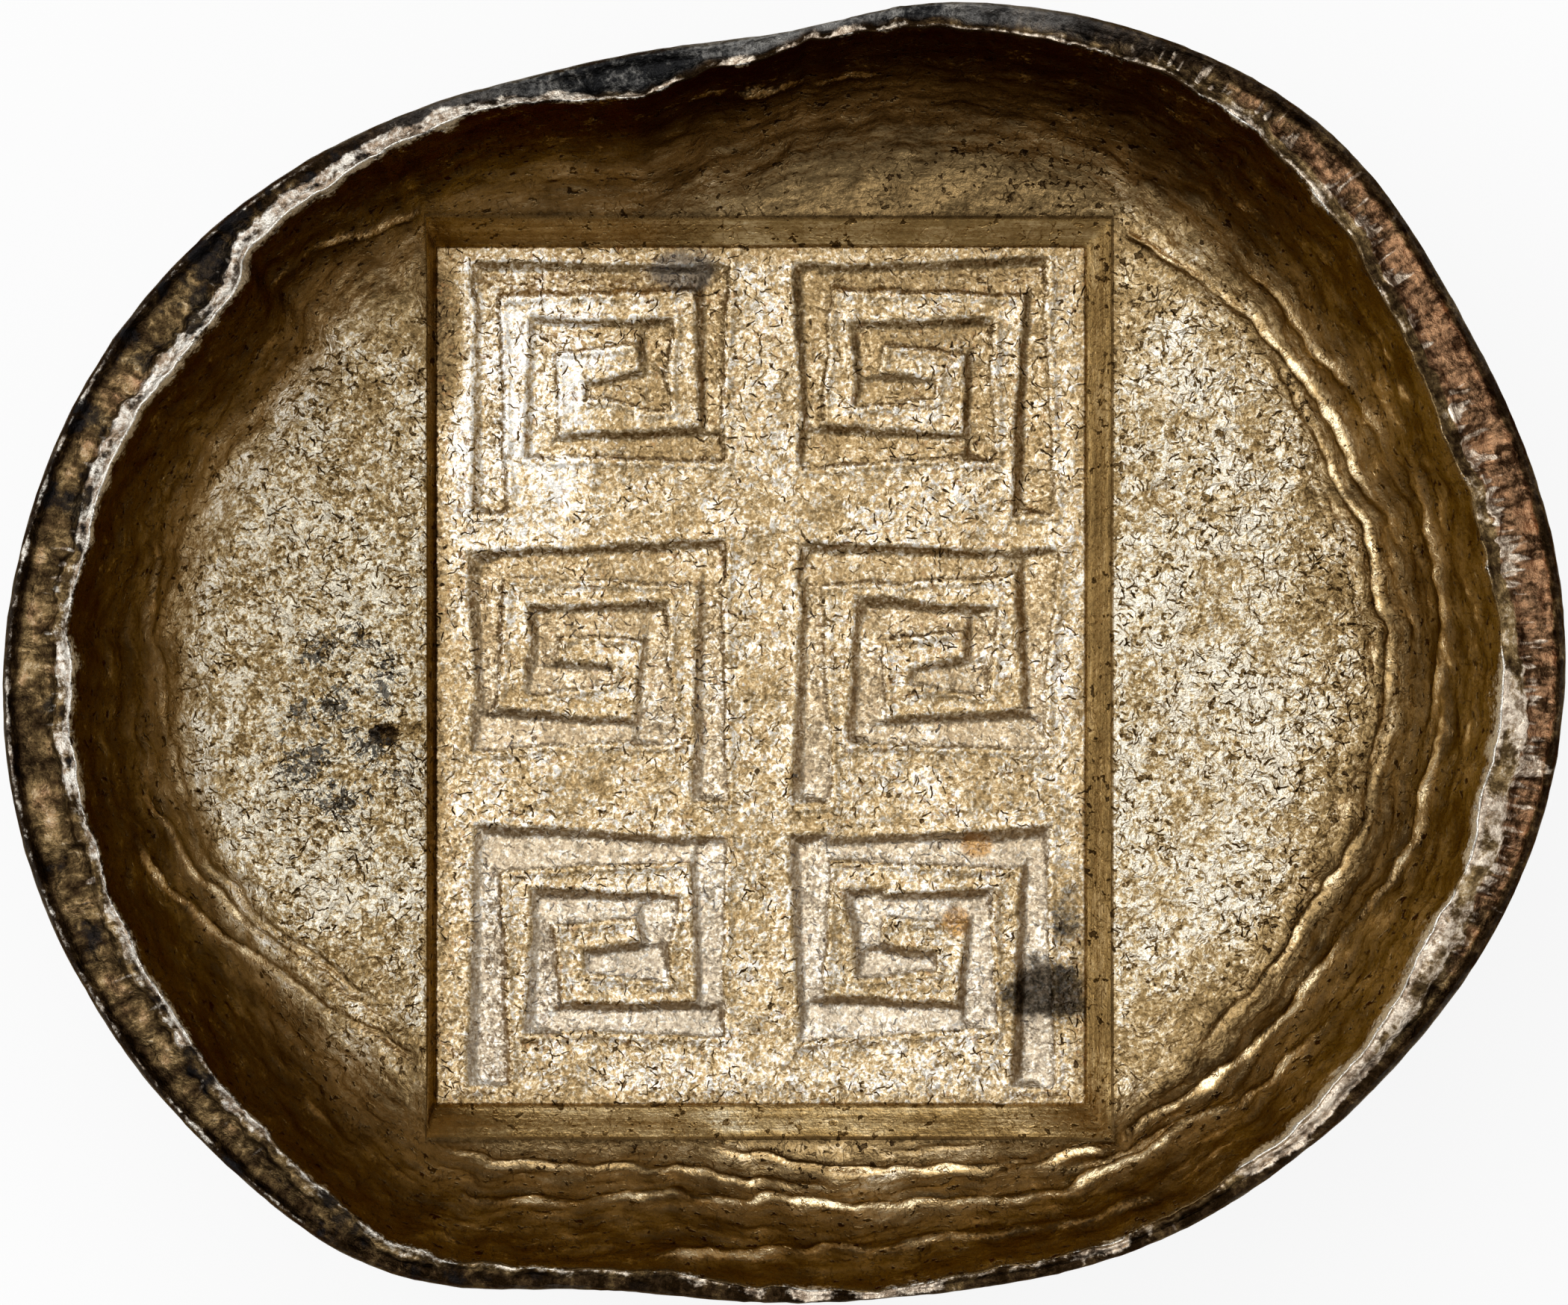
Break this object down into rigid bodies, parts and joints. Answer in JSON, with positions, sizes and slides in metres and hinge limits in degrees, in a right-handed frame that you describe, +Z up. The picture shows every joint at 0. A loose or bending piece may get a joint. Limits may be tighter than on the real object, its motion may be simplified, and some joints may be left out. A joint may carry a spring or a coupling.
{
  "type": "oval silver ingot",
  "caption": "Oval cast silver ingot with a bowl-shaped face, ripples on its wall, a raised uneven rim, a flat foot and a struck rectangular panel of sunken square spirals.",
  "frame": {"origin": "on the flat foot's plane, under the middle of the bounding box", "axes": "+X along the ingot, towards the right-hand end in the picture; +Y across it, towards the top of the picture; +Z up, out of the bowl"},
  "size_m": [0.066, 0.055, 0.026],
  "materials": {
    "mould_skin": "silver cast against a mould, pitted and darkly tarnished, worn bright along the crest",
    "poured_core": "silver's free frozen face, satin, brown in the ripples",
    "stamped_face": "struck silver, satin, with dirt in the strokes"
  },
  "bodies": {
    "root": {"mould_skin": "mould_skin", "poured_core": "poured_core", "stamped_face": "stamped_face"}
  },
  "joints": []
}
